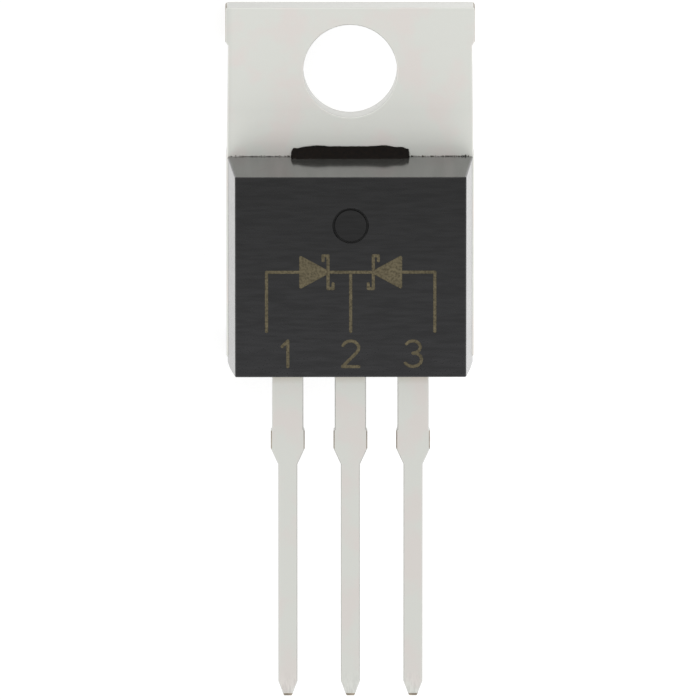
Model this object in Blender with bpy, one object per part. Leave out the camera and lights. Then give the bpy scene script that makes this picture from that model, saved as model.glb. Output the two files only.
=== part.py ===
"""Twin Schottky rectifier in a three-lead power package with a screw-down metal tab.

The part lies on the back of its tab: the marked face looks up +Z, the tab points to +Y and the
leads to -Y. The origin is the bottom centre of its box. Lengths are metres, written in millimetres
times MM. Distances called "below the body" run from the body's lead end towards the lead tips.
"""

import math

import bmesh
import bpy
from mathutils import Vector

MM = 0.001

# Lengths that add up to the whole, from the tab's top edge to the lead tips
TAB_PROJECTION = 6.14 * MM  # bare tab above the moulded body
BODY_LENGTH = 8.59 * MM  # moulded body, at its parting line
LEAD_LENGTH = 13.44 * MM  # leads outside the body

# Width of the header under the moulding, from which tab and body take theirs
HEADER_WIDTH = 10.04 * MM

# Tab and header: the thick half of the leadframe
TAB_THICKNESS = 1.27 * MM
SHEAR_STUB = 0.03 * MM  # each side, beyond the header, where the neighbouring tabs were sheared off
SHEAR_STUB_LENGTH = 1.42 * MM
TAB_STEP_LENGTH = 0.17 * MM  # run of the small step below the sheared edges
TAB_STEP_ROUND = 0.12 * MM
TAB_INSET = 0.08 * MM  # each side, short of the header, just below the step
TAB_INSET_AT_BODY = 0.03 * MM  # each side, short of the header, where it widens to it
TAB_CORNER = 0.12 * MM
TAB_EDGE_ROUND = 0.05 * MM
HEADER_FLARE_LENGTH = 0.20 * MM  # of tab above the body, over which it widens to the header
HEADER_CORNER = 0.12 * MM
HEADER_END_COVER = 0.28 * MM  # moulding beyond the header's end
SCREW_HOLE_DIAMETER = 3.80 * MM
SCREW_HOLE_FROM_TOP = 2.63 * MM
SCREW_HOLE_ROUND = 0.05 * MM

# Mould locks: a lip coined under the header's end, and a dovetail groove across its front
LIP_LENGTH = 0.97 * MM
LIP_THICKNESS = 0.70 * MM
GROOVE_FROM_TOP = 0.62 * MM  # groove's middle below the body's top face
GROOVE_SIDE_MARGIN = 0.82 * MM  # header left whole beyond each end of the groove
GROOVE_MOUTH = 0.34 * MM
GROOVE_FLARE = 0.07 * MM  # each side, at the groove's floor
GROOVE_DEPTH = 0.28 * MM

# Leads: the thin half of the leadframe
LEAD_PITCH = 2.54 * MM
LEAD_THICKNESS = 0.50 * MM
LEAD_BACK = 2.35 * MM  # back face of the leads above the back of the tab
LEAD_EDGE = 0.04 * MM
SHOULDER_WIDTH = 1.27 * MM
SHOULDER_LENGTH = 2.38 * MM  # straight below the body
DAMBAR_STUB = 0.05 * MM  # each side, beyond the shoulder, left of the sheared dam bar
DAMBAR_RISE = 0.05 * MM
DAMBAR_LENGTH = 0.74 * MM
TAPER_LENGTH = 0.65 * MM
PIN_WIDTH = 0.78 * MM
TIP_WIDTH = 0.40 * MM
TIP_TAPER = 0.50 * MM
TIP_WEDGE = 0.12 * MM  # length of the wedge that the cutting tool leaves at the tip
TIP_PINCH = 0.12 * MM  # each face, squeezed in at the wedge's end
TIP_END_WIDTH = 0.32 * MM

# Middle lead's neck, bent up out of a notch in the header
NECK_CLIMB = math.radians(60)
NECK_RADIUS = 0.45 * MM  # of the strip's middle line, at both bends
NECK_COVER = 0.43 * MM  # straight strip between the upper bend and the body's end
NECK_ROOT = 0.07 * MM  # flat strip between the notch and the lower bend
NECK_EMBED = 0.40 * MM  # strip run inside the header's metal
NECK_SINK = 0.05 * MM  # strip's front below the header's front
NOTCH_GAP = 0.465 * MM  # each side, between the strip and the notch's wall
NOTCH_CORNER = 0.20 * MM

# Outer leads' bond posts inside the body
POST_COVER = 0.75 * MM  # shoulder-wide strip inside the body's end
POST_FLARE = 0.20 * MM
POST_LENGTH = 1.30 * MM
POST_WIDTH = 2.50 * MM
POST_CORNER = 0.15 * MM
POST_HOLE_DIAMETER = 0.50 * MM  # the moulding passes through it and holds the lead
POST_HOLE_COVER = 0.80 * MM  # hole's middle inside the body's end

# Dies, their solder and their wires
DIE_SIZE = 2.40 * MM
DIE_THICKNESS = 0.26 * MM
DIE_INWARD = 0.19 * MM  # die's middle nearer the part's middle than its lead's
DIE_FROM_TOP = 3.26 * MM  # die's middle below the body's top face
ANODE_PAD_MARGIN = 0.18 * MM
ANODE_PAD_HEIGHT = 0.02 * MM
SOLDER_THICKNESS = 0.06 * MM
SOLDER_FILLET = 0.12 * MM
WIRE_DIAMETER = 0.30 * MM
WIRE_PITCH = 1.00 * MM
WIRE_LOOP_RATIO = 0.34  # loop's rise above the line between its bonds, to its span
WIRE_FOOT_LENGTH = 0.55 * MM
WIRE_FOOT_WIDTH = 0.48 * MM
WIRE_FOOT_HEIGHT = 0.15 * MM
WIRE_HEEL_LENGTH = 0.35 * MM  # over which a flattened foot turns round again
WIRE_OFF_DIE_MIDDLE = 0.17 * MM  # first bond's middle, towards the leads
WIRE_OFF_POST_MIDDLE = 0.07 * MM  # second bond's middle, towards the die

# Moulded body
BODY_FRONT = 4.50 * MM  # marked face above the back of the tab
BODY_LEDGE = 0.05 * MM  # each side, header left bare beside the moulding above it
SIDE_DRAFT = math.radians(5.3)
TOP_DRAFT = math.radians(4.2)
END_DRAFT_FRONT = math.radians(3.1)  # from the parting line to the marked face
END_DRAFT_BACK = math.radians(3.0)  # from the parting line to the back
BODY_CORNER = 0.06 * MM
BODY_EDGE_ROUND = 0.06 * MM
FOOT_RECESS = 0.03 * MM  # moulding above the plane of the tab's back
PIN_MARK_DIAMETER = 1.37 * MM  # ring left by the ejector pin
PIN_MARK_FROM_TOP = 2.23 * MM
PIN_MARK_WIDTH = 0.10 * MM
PIN_MARK_DEPTH = 0.08 * MM
PIN_MARK_SINK = 0.012 * MM  # disc inside the ring, below the marked face

# Broken gate where the compound entered over the tab: a wedge that lies on the tab's front
GATE_WIDTH = 4.78 * MM
GATE_HEIGHT = 0.34 * MM  # at the body's top face
GATE_LIP = 0.05 * MM  # height at the break's outer edge
GATE_HOLLOW = 0.02 * MM  # by which the break sags between its outer edge and the body
GATE_PROJECTION = 0.42 * MM
GATE_SWELL = 0.04 * MM  # two soft swellings in the break
GATE_SWELL_PITCH = 2.75 * MM
GATE_SWELL_WIDTH = 0.33 * MM
GATE_GRAIN = 0.03 * MM  # unevenness of the break, near its ends

CLEARANCE = 0.02 * MM  # between any two pieces that seat on or in each other
OVERLAP = 0.30 * MM  # by which joined shapes run into each other
REACH = 1.00 * MM  # by which cutters run past what they cut
WELD = 0.0001 * MM  # points this close are one

# Facets
ARC_STEPS = 3
BEND_STEPS = 6
HOLE_SIDES = 72
PIN_MARK_SIDES = 48
POST_HOLE_SIDES = 16
WIRE_SIDES = 10
WIRE_STEPS = 16
GATE_STEPS = 52

# Places worked out from the sizes above
TAB_TOP = (TAB_PROJECTION + BODY_LENGTH + LEAD_LENGTH) / 2
BODY_TOP = TAB_TOP - TAB_PROJECTION
BODY_END = BODY_TOP - BODY_LENGTH
HEADER_END = BODY_END + HEADER_END_COVER
LEAD_MIDDLE = LEAD_BACK + LEAD_THICKNESS / 2
DIE_OFFSET = LEAD_PITCH - DIE_INWARD
DIE_Y = BODY_TOP - DIE_FROM_TOP
SOLDER_TOP = TAB_THICKNESS + CLEARANCE + SOLDER_THICKNESS
DIE_BACK = SOLDER_TOP + CLEARANCE
DIE_TOP = DIE_BACK + DIE_THICKNESS + ANODE_PAD_HEIGHT
NECK_ROOT_Z = TAB_THICKNESS - NECK_SINK - LEAD_THICKNESS / 2
NECK_SLOPE_LENGTH = (
    LEAD_MIDDLE - NECK_ROOT_Z - 2 * NECK_RADIUS * (1 - math.cos(NECK_CLIMB))
) / math.sin(NECK_CLIMB)
NECK_END = BODY_END + NECK_COVER
NECK_START = (
    NECK_END
    + 2 * NECK_RADIUS * math.sin(NECK_CLIMB)
    + NECK_SLOPE_LENGTH * math.cos(NECK_CLIMB)
)
NOTCH_TOP = NECK_START + NECK_ROOT
SIDES = {"left": -1, "right": 1}


def clear_scene():
    for obj in list(bpy.data.objects):
        bpy.data.objects.remove(obj, do_unlink=True)


def make_material(name, colour, metallic, roughness):
    """A Principled material; colour is linear RGB."""
    material = bpy.data.materials.new(name)
    material.use_nodes = True
    shader = material.node_tree.nodes["Principled BSDF"]
    shader.inputs["Base Color"].default_value = (*colour, 1.0)
    shader.inputs["Metallic"].default_value = metallic
    shader.inputs["Roughness"].default_value = roughness
    material.diffuse_color = (*colour, 1.0)
    return material


def add_object(name, bm, material=None):
    """Links the mesh as a piece with this material or, without one, as a hidden helper."""
    mesh = bpy.data.meshes.new(name)
    bm.to_mesh(mesh)
    bm.free()
    obj = bpy.data.objects.new(name, mesh)
    bpy.context.scene.collection.objects.link(obj)
    if material:
        mesh.materials.append(material)
        mesh.shade_smooth()
        mesh.set_sharp_from_angle(angle=math.radians(30))
    else:
        obj.hide_render = True
        obj.display_type = "WIRE"
    return obj


def combine(target, operation, *helpers):
    """Adds a Boolean to the target for each helper, in order."""
    for helper in helpers:
        boolean = target.modifiers.new(helper.name, "BOOLEAN")
        boolean.operation = operation
        boolean.solver = "EXACT"
        boolean.object = helper


def loft(rings, closed=False):
    """A solid through rings of equally many points; closed joins the last ring to the first."""
    bm = bmesh.new()
    rows = [[bm.verts.new(point) for point in ring] for ring in rings]
    following = rows[1:] + rows[:1] if closed else rows[1:]
    for near, far in zip(rows, following):
        for i in range(len(near)):
            j = (i + 1) % len(near)
            bm.faces.new((near[i], near[j], far[j], far[i]))
    if not closed:
        bm.faces.new(reversed(rows[0]))
        bm.faces.new(rows[-1])
    bmesh.ops.remove_doubles(bm, verts=bm.verts, dist=WELD)
    bmesh.ops.recalc_face_normals(bm, faces=bm.faces)
    return bm


def rounded(corners, steps=ARC_STEPS):
    """The outline through corners (x, y, radius), with an arc at each corner that has a radius."""
    outline = []
    for i, (x, y, radius) in enumerate(corners):
        corner = Vector((x, y))
        if not radius:
            outline.append(corner)
            continue
        back = (Vector(corners[i - 1][:2]) - corner).normalized()
        ahead = (Vector(corners[(i + 1) % len(corners)][:2]) - corner).normalized()
        half_angle = back.angle(ahead) / 2
        centre = corner + (back + ahead).normalized() * radius / math.sin(half_angle)
        first = corner + back * radius / math.tan(half_angle) - centre
        last = corner + ahead * radius / math.tan(half_angle) - centre
        start = math.atan2(first.y, first.x)
        sweep = (math.atan2(last.y, last.x) - start + math.pi) % math.tau - math.pi
        for step in range(steps + 1):
            angle = start + sweep * step / steps
            outline.append(centre + Vector((math.cos(angle), math.sin(angle))) * radius)
    return outline


def prism(outline, bottom, top):
    """The outline, a list of (x, y), raised from one height to another."""
    return loft([[(x, y, z) for x, y in outline] for z in (bottom, top)])


def cross_bar(profile, length):
    """The profile, a list of (y, z), run across the part for this length."""
    return loft([[(x, y, z) for y, z in profile] for x in (-length / 2, length / 2)])


def circle(x, y, radius, height, sides):
    return [
        (x + radius * math.cos(math.tau * i / sides), y + radius * math.sin(math.tau * i / sides), height)
        for i in range(sides)
    ]


def turned(x, y, profile, sides, closed=False):
    """A round solid on the axis through (x, y); the profile is a list of (radius, height)."""
    return loft([circle(x, y, radius, z, sides) for radius, z in profile], closed)


def header_outline(grow=0.0):
    """Plan of tab and header, notched at the lower end for the middle lead's neck."""
    notch = SHOULDER_WIDTH / 2 + NOTCH_GAP - grow
    side = HEADER_WIDTH / 2 + grow
    step_top = TAB_TOP - SHEAR_STUB_LENGTH
    right = [
        (notch, NOTCH_TOP - grow, NOTCH_CORNER),
        (notch, HEADER_END - grow, NOTCH_CORNER),
        (side, HEADER_END - grow, HEADER_CORNER),
        (side, BODY_TOP, 0),
        (side - TAB_INSET_AT_BODY, BODY_TOP + HEADER_FLARE_LENGTH, 0),
        (side - TAB_INSET, step_top - TAB_STEP_LENGTH, TAB_STEP_ROUND),
        (side + SHEAR_STUB, step_top, TAB_STEP_ROUND),
        (side + SHEAR_STUB, TAB_TOP + grow, TAB_CORNER),
    ]
    left = [(-x, y, radius) for x, y, radius in reversed(right)]
    return rounded(right + left)


def coined_profile(grow=0.0):
    """Section, as (y, z), of the metal squeezed away under the header's end."""
    top = TAB_THICKNESS - LIP_THICKNESS - grow
    inner = HEADER_END + LIP_LENGTH - grow
    outer = HEADER_END - REACH
    return [(outer, -REACH), (inner, -REACH), (inner, top), (outer, top)]


def groove_profile(grow=0.0):
    """Section of the dovetail groove; a negative grow gives the rib that fills it."""
    middle = BODY_TOP - GROOVE_FROM_TOP
    mouth = GROOVE_MOUTH / 2 + grow
    floor = mouth + GROOVE_FLARE
    bottom = TAB_THICKNESS - GROOVE_DEPTH - grow
    return [
        (middle - floor, bottom),
        (middle + floor, bottom),
        (middle + mouth, TAB_THICKNESS),
        (middle + mouth, TAB_THICKNESS + OVERLAP),
        (middle - mouth, TAB_THICKNESS + OVERLAP),
        (middle - mouth, TAB_THICKNESS),
    ]


def strip(stations, grow=0.0):
    """A lead's strip; each station is (x, y, z, climb, half width, half thickness)."""
    rings = []
    for x, y, z, climb, half_width, half_thickness in stations:
        side = half_width + grow
        half = half_thickness + grow
        quarter = [(side - LEAD_EDGE, half), (side, half - LEAD_EDGE)]
        right = quarter + [(u, -v) for u, v in reversed(quarter)]
        section = right + [(-u, v) for u, v in reversed(right)]
        rings.append(
            [(x + u, y + v * math.sin(climb), z + v * math.cos(climb)) for u, v in section]
        )
    return loft(rings)


def flat_stations(x, outline):
    """Stations of a flat strip from (distance below the body, half width) pairs."""
    stations = []
    for distance, half_width in outline:
        pinch = TIP_PINCH * max(0.0, distance - LEAD_LENGTH + TIP_WEDGE) / TIP_WEDGE
        half_thickness = LEAD_THICKNESS / 2 - pinch
        stations.append((x, BODY_END - distance, LEAD_MIDDLE, 0.0, half_width, half_thickness))
    return stations


def pin_outline():
    """What a lead shows outside the body: shoulder, dam-bar stubs, taper, pin and tip."""
    stub = SHOULDER_LENGTH + DAMBAR_RISE
    taper = stub + DAMBAR_LENGTH
    wedge = LEAD_LENGTH - TIP_WEDGE
    return [
        (SHOULDER_LENGTH, SHOULDER_WIDTH / 2),
        (stub, SHOULDER_WIDTH / 2 + DAMBAR_STUB),
        (taper, SHOULDER_WIDTH / 2 + DAMBAR_STUB),
        (taper + TAPER_LENGTH, PIN_WIDTH / 2),
        (wedge - TIP_TAPER, PIN_WIDTH / 2),
        (wedge, TIP_WIDTH / 2),
        (LEAD_LENGTH, TIP_END_WIDTH / 2),
    ]


def post_outline(grow=0.0):
    """The bond post and the strip that joins it to its lead, both inside the body."""
    flare = POST_COVER + POST_FLARE
    end = flare + POST_LENGTH
    return [
        (-end - grow, POST_WIDTH / 2 - POST_CORNER),
        (-end + POST_CORNER, POST_WIDTH / 2),
        (-flare, POST_WIDTH / 2),
        (-POST_COVER, SHOULDER_WIDTH / 2),
    ]


def neck_stations():
    """The middle lead's strip, from inside the header up its two bends."""
    section = (SHOULDER_WIDTH / 2, LEAD_THICKNESS / 2)
    stations = [(0.0, NECK_START + NECK_ROOT + NECK_EMBED, NECK_ROOT_Z, 0.0, *section)]
    for step in range(BEND_STEPS + 1):
        climb = NECK_CLIMB * step / BEND_STEPS
        y = NECK_START - NECK_RADIUS * math.sin(climb)
        z = NECK_ROOT_Z + NECK_RADIUS * (1 - math.cos(climb))
        stations.append((0.0, y, z, climb, *section))
    for step in range(BEND_STEPS + 1):
        climb = NECK_CLIMB * (1 - step / BEND_STEPS)
        y = NECK_END + NECK_RADIUS * math.sin(climb)
        z = LEAD_MIDDLE - NECK_RADIUS * (1 - math.cos(climb))
        stations.append((0.0, y, z, climb, *section))
    return stations


def middle_lead(grow=0.0):
    return strip(neck_stations() + flat_stations(0.0, pin_outline()), grow)


def header_plate(name, grow=0.0, material=None):
    """Tab and header with the coined lip; grown, it is the space they take in the moulding."""
    bottom = -REACH if grow else 0.0
    plate = prism(header_outline(grow), bottom, TAB_THICKNESS + grow)
    if not grow:
        rims = [e for e in plate.edges if abs(e.verts[0].co.z - e.verts[1].co.z) < CLEARANCE]
        bmesh.ops.bevel(
            plate, geom=rims, offset=TAB_EDGE_ROUND, segments=2, profile=0.5, affect="EDGES"
        )
    obj = add_object(name, plate, material)
    coined_width = HEADER_WIDTH + 2 * REACH
    coined = add_object(name + "_coining", cross_bar(coined_profile(grow), coined_width))
    combine(obj, "DIFFERENCE", coined)
    return obj


def make_heatsink_tab(tin):
    """Tab, header and middle lead, which are one piece of copper."""
    tab = header_plate("heatsink_tab", material=tin)
    rim = SCREW_HOLE_DIAMETER / 2 + SCREW_HOLE_ROUND
    soft_rim = SCREW_HOLE_DIAMETER / 2 + SCREW_HOLE_ROUND * (1 - math.sqrt(0.5))
    soft_depth = SCREW_HOLE_ROUND * (1 - math.sqrt(0.5))
    hole = [
        (rim, -REACH),
        (rim, 0.0),
        (soft_rim, soft_depth),
        (SCREW_HOLE_DIAMETER / 2, SCREW_HOLE_ROUND),
        (SCREW_HOLE_DIAMETER / 2, TAB_THICKNESS - SCREW_HOLE_ROUND),
        (soft_rim, TAB_THICKNESS - soft_depth),
        (rim, TAB_THICKNESS),
        (rim, TAB_THICKNESS + REACH),
    ]
    screw_hole = add_object(
        "screw_hole", turned(0.0, TAB_TOP - SCREW_HOLE_FROM_TOP, hole, HOLE_SIDES)
    )
    groove_length = HEADER_WIDTH - 2 * GROOVE_SIDE_MARGIN
    groove = add_object("lock_groove", cross_bar(groove_profile(), groove_length))
    combine(tab, "DIFFERENCE", screw_hole, groove)
    combine(tab, "UNION", add_object("middle_lead_strip", middle_lead()))
    return tab


def anode_lead(name, side, grow=0.0, material=None):
    """An outer lead with its bond post and lock hole; grown, the space it takes."""
    x = side * LEAD_PITCH
    lead = add_object(
        name, strip(flat_stations(x, post_outline(grow) + pin_outline()), grow), material
    )
    radius = POST_HOLE_DIAMETER / 2 - grow
    through = [(radius, LEAD_BACK - REACH), (radius, LEAD_BACK + LEAD_THICKNESS + REACH)]
    hole = turned(x, BODY_END + POST_HOLE_COVER, through, POST_HOLE_SIDES)
    combine(lead, "DIFFERENCE", add_object(name + "_hole", hole))
    return lead


def square(x, size, height):
    """Corners of a square on a die's middle."""
    half = size / 2
    return [
        (x - half, DIE_Y - half, height),
        (x + half, DIE_Y - half, height),
        (x + half, DIE_Y + half, height),
        (x - half, DIE_Y + half, height),
    ]


def die_shape(side):
    """Silicon with its raised anode metal."""
    x = side * DIE_OFFSET
    pad = DIE_SIZE - 2 * ANODE_PAD_MARGIN
    return loft(
        [
            square(x, DIE_SIZE, DIE_BACK),
            square(x, DIE_SIZE, DIE_TOP - ANODE_PAD_HEIGHT),
            square(x, pad, DIE_TOP - ANODE_PAD_HEIGHT),
            square(x, pad, DIE_TOP),
        ]
    )


def solder_shape(side):
    """The solder under a die, with its fillet."""
    x = side * DIE_OFFSET
    spread = DIE_SIZE + 2 * SOLDER_FILLET
    return loft([square(x, spread, TAB_THICKNESS + CLEARANCE), square(x, DIE_SIZE, SOLDER_TOP)])


def die_pocket(side):
    """The space that die and solder take in the moulding."""
    x = side * DIE_OFFSET
    spread = DIE_SIZE + 2 * (SOLDER_FILLET + CLEARANCE)
    snug = DIE_SIZE + 2 * CLEARANCE
    return loft(
        [
            square(x, spread, TAB_THICKNESS - OVERLAP),
            square(x, spread, TAB_THICKNESS + 2 * CLEARANCE),
            square(x, snug, DIE_BACK),
            square(x, snug, DIE_TOP + CLEARANCE),
        ]
    )


def wire_shape(side, row, grow=0.0):
    """A bond wire from its foot on the die, over its loop, to its foot on the post."""
    x = side * DIE_OFFSET + row * WIRE_PITCH / 2
    first = DIE_Y - WIRE_OFF_DIE_MIDDLE
    last = BODY_END + POST_COVER + POST_FLARE + POST_LENGTH / 2 + WIRE_OFF_POST_MIDDLE
    low = DIE_TOP + CLEARANCE + WIRE_FOOT_HEIGHT / 2
    high = LEAD_BACK + LEAD_THICKNESS + CLEARANCE + WIRE_FOOT_HEIGHT / 2
    leave = first - WIRE_FOOT_LENGTH / 2
    land = last + WIRE_FOOT_LENGTH / 2
    loop = WIRE_LOOP_RATIO * (leave - land)
    path = [(first + WIRE_FOOT_LENGTH / 2 + grow, low, 0.0, 0.0)]
    for step in range(WIRE_STEPS + 1):
        share = step / WIRE_STEPS
        ease = share * share * (3 - 2 * share)
        y = leave + (land - leave) * share
        z = low + (high - low) * ease + loop * math.sin(math.pi * share) ** 2
        slope = (high - low) * 6 * share * (1 - share) + loop * math.pi * math.sin(math.tau * share)
        from_foot = min(share, 1 - share) * (leave - land)
        path.append((y, z, math.atan2(slope, leave - land), min(1.0, from_foot / WIRE_HEEL_LENGTH)))
    path.append((last - WIRE_FOOT_LENGTH / 2 - grow, high, 0.0, 0.0))
    rings = []
    for y, z, climb, roundness in path:
        wide = (WIRE_FOOT_WIDTH + (WIRE_DIAMETER - WIRE_FOOT_WIDTH) * roundness) / 2 + grow
        tall = (WIRE_FOOT_HEIGHT + (WIRE_DIAMETER - WIRE_FOOT_HEIGHT) * roundness) / 2 + grow
        ring = []
        for i in range(WIRE_SIDES):
            angle = math.tau * (i + 0.5) / WIRE_SIDES + math.pi / 2
            across = wide * math.cos(angle)
            up = tall * math.sin(angle) / math.cos(math.pi / WIRE_SIDES)
            ring.append((x + across, y + up * math.sin(climb), z + up * math.cos(climb)))
        rings.append(ring)
    return loft(rings)


def end_face(z):
    """Where the lead end's face is at a height; it is furthest out at the parting line."""
    if z > LEAD_BACK:
        return BODY_END + (z - LEAD_BACK) * math.tan(END_DRAFT_FRONT)
    return BODY_END + (LEAD_BACK - z) * math.tan(END_DRAFT_BACK)


def body_section(z, inset=0.0):
    """The drafted body's rounded outline at a height."""
    drafted = max(0.0, z - TAB_THICKNESS)
    side = HEADER_WIDTH / 2 - BODY_LEDGE - drafted * math.tan(SIDE_DRAFT) - inset
    top = BODY_TOP - drafted * math.tan(TOP_DRAFT) - inset
    end = end_face(z) + inset
    corners = [(side, end), (side, top), (-side, top), (-side, end)]
    return [(x, y, z) for x, y in rounded([(x, y, BODY_CORNER) for x, y in corners])]


def body_block():
    """The whole moulding before its hollows: upright up to the header's front, then drafted."""
    soft = BODY_EDGE_ROUND * (1 - math.sqrt(0.5))
    return loft(
        [
            body_section(FOOT_RECESS),
            body_section(TAB_THICKNESS),
            body_section(LEAD_BACK),
            body_section(BODY_FRONT - BODY_EDGE_ROUND),
            body_section(BODY_FRONT - soft, soft),
            body_section(BODY_FRONT, BODY_EDGE_ROUND),
        ]
    )


def gate_remnant():
    """The snapped-off gate: its break slopes up to the body, swells twice and has ragged ends."""
    rings = []
    base = TAB_THICKNESS + CLEARANCE
    below = TAB_THICKNESS - OVERLAP / 2
    for step in range(GATE_STEPS + 1):
        across = math.sin((step / GATE_STEPS - 0.5) * math.pi)
        x = across * GATE_WIDTH / 2
        fullness = (1 - 0.96 * abs(across) ** 7) ** 0.25
        swell = GATE_SWELL * sum(
            math.exp(-(((x - sign * GATE_SWELL_PITCH / 2) / GATE_SWELL_WIDTH) ** 2))
            for sign in SIDES.values()
        )
        grain = GATE_GRAIN * across**4 * (math.sin(13 * step) + math.sin(5.3 * step))
        reach = GATE_PROJECTION * fullness + swell + grain
        rise = GATE_HEIGHT * (0.7 + 0.3 * fullness) - grain
        slope = (rise - GATE_LIP) / reach
        rings.append(
            [
                (x, BODY_TOP - OVERLAP, below),
                (x, BODY_TOP + reach, below),
                (x, BODY_TOP + reach, base + GATE_LIP),
                (x, BODY_TOP + reach / 2, base + (rise + GATE_LIP) / 2 - GATE_HOLLOW + grain),
                (x, BODY_TOP, base + rise),
                (x, BODY_TOP - OVERLAP, base + rise + OVERLAP * slope),
            ]
        )
    return loft(rings)


def pin_mark():
    """Ring and slightly sunk disc that the ejector pin leaves in the marked face."""
    radius = PIN_MARK_DIAMETER / 2
    floor = BODY_FRONT - PIN_MARK_DEPTH
    disc = BODY_FRONT - PIN_MARK_SINK
    profile = [
        (PIN_MARK_WIDTH / 2, disc),
        (radius - PIN_MARK_WIDTH / 2, disc),
        (radius - PIN_MARK_WIDTH / 4, floor),
        (radius + PIN_MARK_WIDTH / 4, floor),
        (radius + PIN_MARK_WIDTH / 2, BODY_FRONT),
        (radius + PIN_MARK_WIDTH / 2, BODY_FRONT + REACH),
        (PIN_MARK_WIDTH / 2, BODY_FRONT + REACH),
    ]
    return turned(0.0, BODY_TOP - PIN_MARK_FROM_TOP, profile, PIN_MARK_SIDES)


def make_moulded_body(epoxy):
    """The black moulding, with the spaces of everything it encloses."""
    body = add_object("moulded_body", body_block(), epoxy)
    combine(body, "UNION", add_object("gate", gate_remnant()))
    combine(body, "DIFFERENCE", header_plate("header_space", CLEARANCE))
    rib_length = HEADER_WIDTH - 2 * (GROOVE_SIDE_MARGIN + CLEARANCE)
    rib = cross_bar(groove_profile(-CLEARANCE), rib_length)
    combine(body, "UNION", add_object("lock_rib", rib))
    combine(body, "DIFFERENCE", add_object("middle_lead_space", middle_lead(CLEARANCE)))
    for name, side in SIDES.items():
        combine(body, "DIFFERENCE", anode_lead(f"anode_lead_{name}_space", side, CLEARANCE))
        combine(body, "DIFFERENCE", add_object(f"die_pocket_{name}", die_pocket(side)))
        for row in (-1, 1):
            wire = wire_shape(side, row, CLEARANCE)
            combine(body, "DIFFERENCE", add_object(f"wire_space_{name}_{row}", wire))
    combine(body, "DIFFERENCE", add_object("ejector_mark", pin_mark()))
    return body


def main():
    clear_scene()
    epoxy = make_material("black_moulding_compound", (0.035, 0.035, 0.036), 0.0, 0.45)
    tin = make_material("matt_tin_on_copper", (0.62, 0.62, 0.60), 1.0, 0.42)
    silicon = make_material("silicon", (0.12, 0.13, 0.16), 0.3, 0.25)
    solder = make_material("soft_solder", (0.42, 0.42, 0.43), 1.0, 0.38)
    aluminium = make_material("aluminium_wire", (0.78, 0.78, 0.80), 1.0, 0.30)
    make_heatsink_tab(tin)
    make_moulded_body(epoxy)
    for name, side in SIDES.items():
        anode_lead(f"anode_lead_{name}", side, material=tin)
        add_object(f"schottky_die_{name}", die_shape(side), silicon)
        add_object(f"die_solder_{name}", solder_shape(side), solder)
        for row, place in ((-side, "inner"), (side, "outer")):
            add_object(f"bond_wire_{name}_{place}", wire_shape(side, row), aluminium)


if __name__ == "__main__":
    main()
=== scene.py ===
import math

import bmesh
import bpy
from bpy.props import FloatProperty, FloatVectorProperty, PointerProperty
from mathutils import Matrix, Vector, noise


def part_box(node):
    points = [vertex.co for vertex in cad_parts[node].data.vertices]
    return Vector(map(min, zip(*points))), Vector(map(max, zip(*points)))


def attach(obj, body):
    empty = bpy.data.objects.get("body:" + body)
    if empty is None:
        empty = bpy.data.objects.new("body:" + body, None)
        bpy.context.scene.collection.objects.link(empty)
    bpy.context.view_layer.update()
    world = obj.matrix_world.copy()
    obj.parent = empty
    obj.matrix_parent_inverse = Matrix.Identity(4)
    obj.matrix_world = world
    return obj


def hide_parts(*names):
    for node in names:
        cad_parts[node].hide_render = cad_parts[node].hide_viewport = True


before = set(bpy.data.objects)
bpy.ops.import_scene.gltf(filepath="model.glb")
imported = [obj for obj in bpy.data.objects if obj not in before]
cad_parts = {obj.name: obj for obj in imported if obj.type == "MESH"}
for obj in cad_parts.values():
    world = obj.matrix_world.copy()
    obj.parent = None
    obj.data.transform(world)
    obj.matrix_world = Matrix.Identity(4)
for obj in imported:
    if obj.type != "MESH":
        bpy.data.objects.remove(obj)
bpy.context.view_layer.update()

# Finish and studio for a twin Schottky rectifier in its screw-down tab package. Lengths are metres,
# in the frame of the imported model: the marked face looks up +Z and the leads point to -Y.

bl_info = {
    "name": "Tab package finish",
    "version": (1, 0, 0),
    "blender": (4, 5, 0),
    "location": "View3D > Sidebar > Package",
    "description": "Dresses a twin Schottky rectifier and lights it",
    "category": "Object",
}

MM = 0.001
BODY_LOW, BODY_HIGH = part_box("moulded_body")
TAB_LOW, TAB_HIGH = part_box("heatsink_tab")
LEAD_LOW, LEAD_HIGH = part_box("anode_lead_right")
LEAD_PITCH = (LEAD_LOW.x + LEAD_HIGH.x) / 2
BODY_TOP = BODY_LOW.y + 8.59 * MM  # moulding's top face where it meets the tab
TAB_FRONT = 1.27 * MM
STUB_HIGH = BODY_LOW.y - 2.42 * MM  # the dam bar was sheared off the leads between these
STUB_LOW = STUB_HIGH - 0.75 * MM
EAR_LOW = TAB_HIGH.y - 1.44 * MM  # and the neighbouring tabs off the tab's ears above this
EAR_INNER = TAB_HIGH.x - 0.1 * MM  # and outside this
TIP_WEDGE = 0.12 * MM  # cut end of a lead
GATE_ROOT = 0.05 * MM  # how far the broken gate reaches in over the top face
PIN_MARK_Y = BODY_TOP - 2.23 * MM  # middle of the ejector pin's mark
PIN_MARK_REACH = 0.80 * MM  # holds the whole mark
PIN_MARK_SINK = 0.012 * MM  # its disc, below the marked face
SEAM_WIDTH = 0.03 * MM  # line of flash between the tab and the moulding's top face
SEAM_MARGIN = 0.15 * MM  # left free at each of its ends
WIDE_FACE = 0.2 * MM * MM  # a face of this area or more is flat
WELD = 0.0001 * MM
FLAT_ANGLE = math.radians(0.4)  # facets within this angle become one face
PIT_DEPTH = 0.01 * MM / 3  # of the moulding's skin, for each unit of its roughness
PULSE_DEPTH = 0.004 * MM  # of the laser's pulses
ROLLED_DEPTH = 0.0012 * MM  # of the strip's rolling lines
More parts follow.
